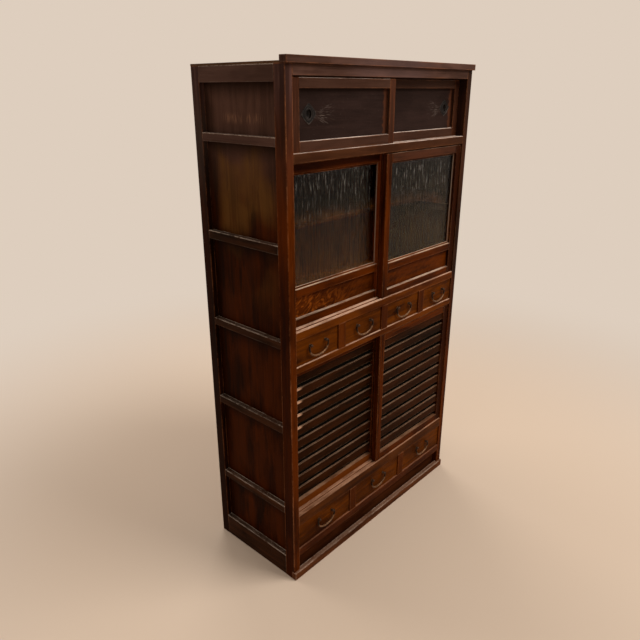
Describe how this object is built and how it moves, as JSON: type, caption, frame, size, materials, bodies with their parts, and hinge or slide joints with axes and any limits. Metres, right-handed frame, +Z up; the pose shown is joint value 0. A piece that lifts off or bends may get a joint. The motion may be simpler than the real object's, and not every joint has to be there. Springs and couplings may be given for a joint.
{
  "type": "kitchen cabinet",
  "caption": "Tall free-standing wooden kitchen cabinet with board, reeded-glass and slatted sliding doors over panelled sides, and two rows of drawers with drop bail handles.",
  "frame": {"origin": "centre of the footprint at floor level", "axes": "+Z up, front faces -Y, +X to the right seen from the front"},
  "size_m": [0.982, 0.416, 1.75],
  "materials": {
    "frame_wood": "old red-brown lacquer stain, satin, worn at the edges",
    "panel_wood": "dark brown stain, dull satin",
    "drawer_wood": "red-brown stained fronts, bare boxes",
    "inner_wood": "bare aged softwood",
    "iron": "blackened wrought iron",
    "reeded_glass": "clear glass with fine upright reeds",
    "wire_mesh": "dark green painted fly-screen wire"
  },
  "bodies": {
    "carcase": {"front_post_left": "frame_wood", "front_post_right": "frame_wood", "back_posts": "frame_wood", "side_rails": "frame_wood", "side_panels": "panel_wood", "back_rails": "inner_wood", "back_boards": "inner_wood", "cornice": "frame_wood", "top_board": "inner_wood", "head_rail": "frame_wood", "upper_door_sill": "frame_wood", "glass_door_sill": "frame_wood", "drawer_rail": "frame_wood", "slat_door_sill": "frame_wood", "bottom_rail": "frame_wood", "drawer_dividers": "frame_wood", "compartment_floors": "inner_wood", "shelves": "inner_wood", "cleats_and_guides": "inner_wood", "base_strip": "frame_wood", "kick_board": "panel_wood"},
    "upper_left_door": {"upper_left_door_frame": "frame_wood", "upper_left_door_panel": "panel_wood", "upper_left_door_pull": "iron"},
    "upper_right_door": {"upper_right_door_frame": "frame_wood", "upper_right_door_panel": "panel_wood", "upper_right_door_pull": "iron"},
    "glass_left_door": {"glass_left_door_frame": "frame_wood", "glass_left_door_glass": "reeded_glass", "glass_left_door_lower_panel": "panel_wood"},
    "glass_right_door": {"glass_right_door_frame": "frame_wood", "glass_right_door_glass": "reeded_glass", "glass_right_door_lower_panel": "panel_wood"},
    "slat_left_door": {"slat_left_door_frame": "frame_wood", "slat_left_door_slats": "frame_wood", "slat_left_door_mesh": "wire_mesh"},
    "slat_right_door": {"slat_right_door_frame": "frame_wood", "slat_right_door_slats": "frame_wood", "slat_right_door_mesh": "wire_mesh"},
    "upper_drawer_1": {"upper_drawer_1_box": "drawer_wood", "upper_drawer_1_posts": "iron"},
    "upper_drawer_1_bail": {"upper_drawer_1_bail": "iron"},
    "upper_drawer_2": {"upper_drawer_2_box": "drawer_wood", "upper_drawer_2_posts": "iron"},
    "upper_drawer_2_bail": {"upper_drawer_2_bail": "iron"},
    "upper_drawer_3": {"upper_drawer_3_box": "drawer_wood", "upper_drawer_3_posts": "iron"},
    "upper_drawer_3_bail": {"upper_drawer_3_bail": "iron"},
    "upper_drawer_4": {"upper_drawer_4_box": "drawer_wood", "upper_drawer_4_posts": "iron"},
    "upper_drawer_4_bail": {"upper_drawer_4_bail": "iron"},
    "lower_drawer_1": {"lower_drawer_1_box": "drawer_wood", "lower_drawer_1_posts": "iron"},
    "lower_drawer_1_bail": {"lower_drawer_1_bail": "iron"},
    "lower_drawer_2": {"lower_drawer_2_box": "drawer_wood", "lower_drawer_2_posts": "iron"},
    "lower_drawer_2_bail": {"lower_drawer_2_bail": "iron"},
    "lower_drawer_3": {"lower_drawer_3_box": "drawer_wood", "lower_drawer_3_posts": "iron"},
    "lower_drawer_3_bail": {"lower_drawer_3_bail": "iron"}
  },
  "joints": [
    {"name": "upper_left_door_slide", "type": "slide", "parent": "carcase", "child": "upper_left_door", "axis": [1, 0, 0], "range_m": [0, 0.443]},
    {"name": "upper_right_door_slide", "type": "slide", "parent": "carcase", "child": "upper_right_door", "axis": [1, 0, 0], "range_m": [-0.443, 0]},
    {"name": "glass_left_door_slide", "type": "slide", "parent": "carcase", "child": "glass_left_door", "axis": [1, 0, 0], "range_m": [0, 0.443]},
    {"name": "glass_right_door_slide", "type": "slide", "parent": "carcase", "child": "glass_right_door", "axis": [1, 0, 0], "range_m": [-0.443, 0]},
    {"name": "slat_left_door_slide", "type": "slide", "parent": "carcase", "child": "slat_left_door", "axis": [1, 0, 0], "range_m": [0, 0.443]},
    {"name": "slat_right_door_slide", "type": "slide", "parent": "carcase", "child": "slat_right_door", "axis": [1, 0, 0], "range_m": [-0.443, 0]},
    {"name": "upper_drawer_1_slide", "type": "slide", "parent": "carcase", "child": "upper_drawer_1", "axis": [0, -1, 0], "range_m": [0, 0.28]},
    {"name": "upper_drawer_1_bail_swing", "type": "hinge", "parent": "upper_drawer_1", "child": "upper_drawer_1_bail", "pos_m": [-0.35813, -0.201, 0.899], "axis": [-1, 0, 0], "range_deg": [-5, 110]},
    {"name": "upper_drawer_2_slide", "type": "slide", "parent": "carcase", "child": "upper_drawer_2", "axis": [0, -1, 0], "range_m": [0, 0.28]},
    {"name": "upper_drawer_2_bail_swing", "type": "hinge", "parent": "upper_drawer_2", "child": "upper_drawer_2_bail", "pos_m": [-0.11937, -0.201, 0.899], "axis": [-1, 0, 0], "range_deg": [-5, 110]},
    {"name": "upper_drawer_3_slide", "type": "slide", "parent": "carcase", "child": "upper_drawer_3", "axis": [0, -1, 0], "range_m": [0, 0.28]},
    {"name": "upper_drawer_3_bail_swing", "type": "hinge", "parent": "upper_drawer_3", "child": "upper_drawer_3_bail", "pos_m": [0.11937, -0.201, 0.899], "axis": [-1, 0, 0], "range_deg": [-5, 110]},
    {"name": "upper_drawer_4_slide", "type": "slide", "parent": "carcase", "child": "upper_drawer_4", "axis": [0, -1, 0], "range_m": [0, 0.28]},
    {"name": "upper_drawer_4_bail_swing", "type": "hinge", "parent": "upper_drawer_4", "child": "upper_drawer_4_bail", "pos_m": [0.35813, -0.201, 0.899], "axis": [-1, 0, 0], "range_deg": [-5, 110]},
    {"name": "lower_drawer_1_slide", "type": "slide", "parent": "carcase", "child": "lower_drawer_1", "axis": [0, -1, 0], "range_m": [0, 0.28]},
    {"name": "lower_drawer_1_bail_swing", "type": "hinge", "parent": "lower_drawer_1", "child": "lower_drawer_1_bail", "pos_m": [-0.31833, -0.201, 0.189], "axis": [-1, 0, 0], "range_deg": [-5, 110]},
    {"name": "lower_drawer_2_slide", "type": "slide", "parent": "carcase", "child": "lower_drawer_2", "axis": [0, -1, 0], "range_m": [0, 0.28]},
    {"name": "lower_drawer_2_bail_swing", "type": "hinge", "parent": "lower_drawer_2", "child": "lower_drawer_2_bail", "pos_m": [0, -0.201, 0.189], "axis": [-1, 0, 0], "range_deg": [-5, 110]},
    {"name": "lower_drawer_3_slide", "type": "slide", "parent": "carcase", "child": "lower_drawer_3", "axis": [0, -1, 0], "range_m": [0, 0.28]},
    {"name": "lower_drawer_3_bail_swing", "type": "hinge", "parent": "lower_drawer_3", "child": "lower_drawer_3_bail", "pos_m": [0.31833, -0.201, 0.189], "axis": [-1, 0, 0], "range_deg": [-5, 110]}
  ]
}
